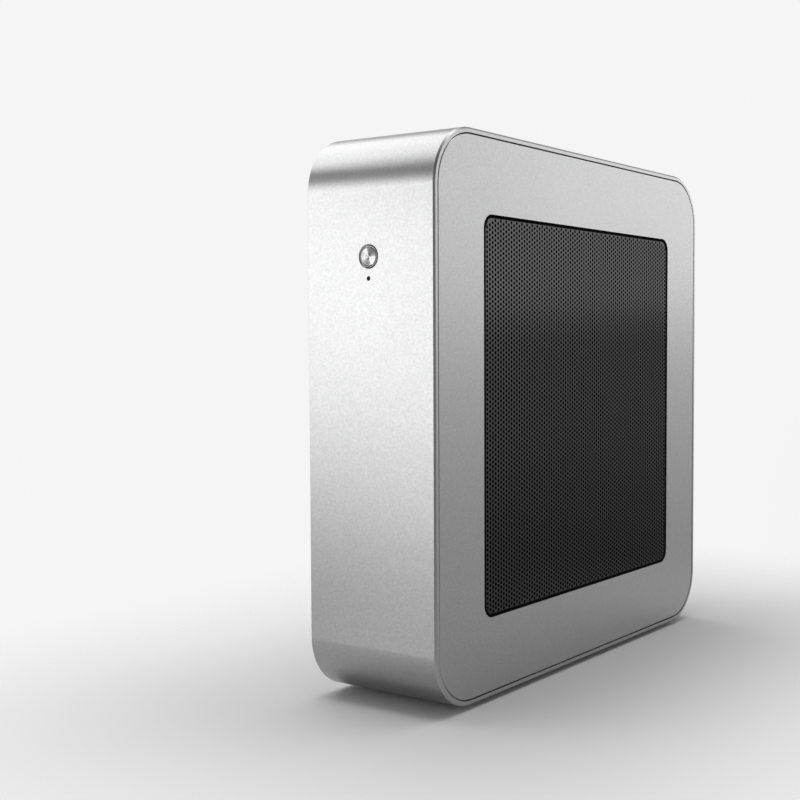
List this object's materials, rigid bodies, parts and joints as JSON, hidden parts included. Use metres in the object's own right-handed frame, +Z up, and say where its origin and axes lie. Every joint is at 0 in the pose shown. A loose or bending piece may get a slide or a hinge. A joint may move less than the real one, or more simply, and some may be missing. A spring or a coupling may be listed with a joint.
{
  "type": "computer case",
  "caption": "Slim upright aluminium computer case: rounded extruded shell, flush side panel with a square perforated vent, round front power button and rear connector aperture.",
  "frame": {"origin": "middle of the footprint, on the plane of the foot soles", "axes": "+X out of the vented side, -Y out of the front with the power button, +Y out of the rear, +Z up"},
  "size_m": [0.062, 0.22, 0.2218],
  "materials": {
    "anodised_aluminium": "bead-blasted and clear anodised",
    "spun_aluminium": "turned face, clear anodised",
    "black_paint": "satin black powder coat on steel",
    "zinc_steel": "zinc plated",
    "nickel_plate": "nickel plated",
    "brass": "turned, unplated",
    "black_plastic": "moulded",
    "white_nylon": "moulded",
    "circuit_board": "solder resist on glass epoxy",
    "smoky_acrylic": "polished",
    "rubber": "moulded, matt"
  },
  "bodies": {
    "case": {"shell": "anodised_aluminium", "left_panel": "anodised_aluminium", "tray_screws": "zinc_steel", "panel_magnets": "nickel_plate", "tact_switch": "black_plastic", "switch_board": "circuit_board", "switch_header": "white_nylon", "header_pins": "nickel_plate", "light_chip": "white_nylon", "light_pipe": "smoky_acrylic", "inlet_body": "black_plastic", "inlet_pin": "nickel_plate", "inlet_nut": "nickel_plate", "standoff_lower_rear": "brass", "standoff_lower_front": "brass", "standoff_upper_rear": "brass", "standoff_upper_front": "brass", "foot_front_left": "rubber", "foot_front_right": "rubber", "foot_rear_left": "rubber", "foot_rear_right": "rubber"},
    "side_panel": {"right_panel": "anodised_aluminium", "grille": "black_paint", "panel_keys": "zinc_steel"},
    "power_button": {"button_cap": "spun_aluminium", "tact_plunger": "black_plastic"}
  },
  "joints": [
    {"name": "panel_release", "type": "slide", "parent": "case", "child": "side_panel", "axis": [1, 0, 0], "range_m": [0, 0.06]},
    {"name": "power_press", "type": "slide", "parent": "case", "child": "power_button", "axis": [0, 1, 0], "range_m": [0, 0.0008], "stiffness_N_per_m": 400, "springref_m": -0.0005}
  ]
}
